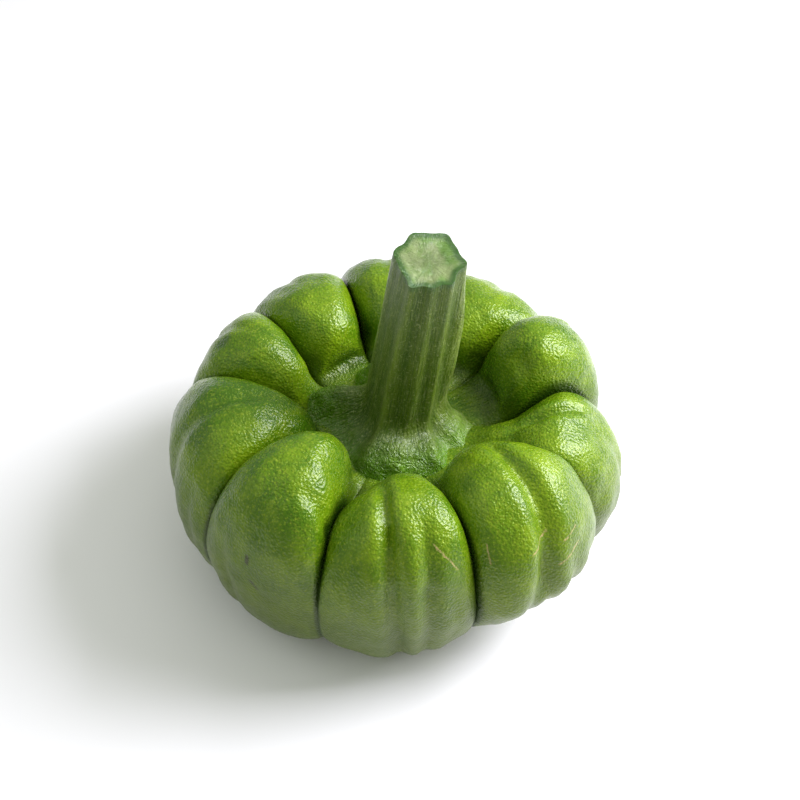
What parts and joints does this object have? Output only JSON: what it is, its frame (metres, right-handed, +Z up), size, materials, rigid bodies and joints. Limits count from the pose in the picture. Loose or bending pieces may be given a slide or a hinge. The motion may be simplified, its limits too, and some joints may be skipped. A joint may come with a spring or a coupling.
{
  "type": "kabocha squash",
  "caption": "Deeply lobed green kabocha squash, low and round, standing on its base with its ridged cut stem rising out of the crown.",
  "frame": {"origin": "on the surface the fruit stands on, under the middle of the bounding box of fruit and stem", "axes": "+Z up along the fruit, -Y towards the front, +X to the right as seen from the front; the stem leans to +X"},
  "size_m": [0.1676, 0.163, 0.1318],
  "materials": {
    "skin": null,
    "stalk": "fibrous green stalk, pale and moist at the cut"
  },
  "bodies": {
    "root": {"fruit": "skin", "stem": "stalk"}
  },
  "joints": []
}
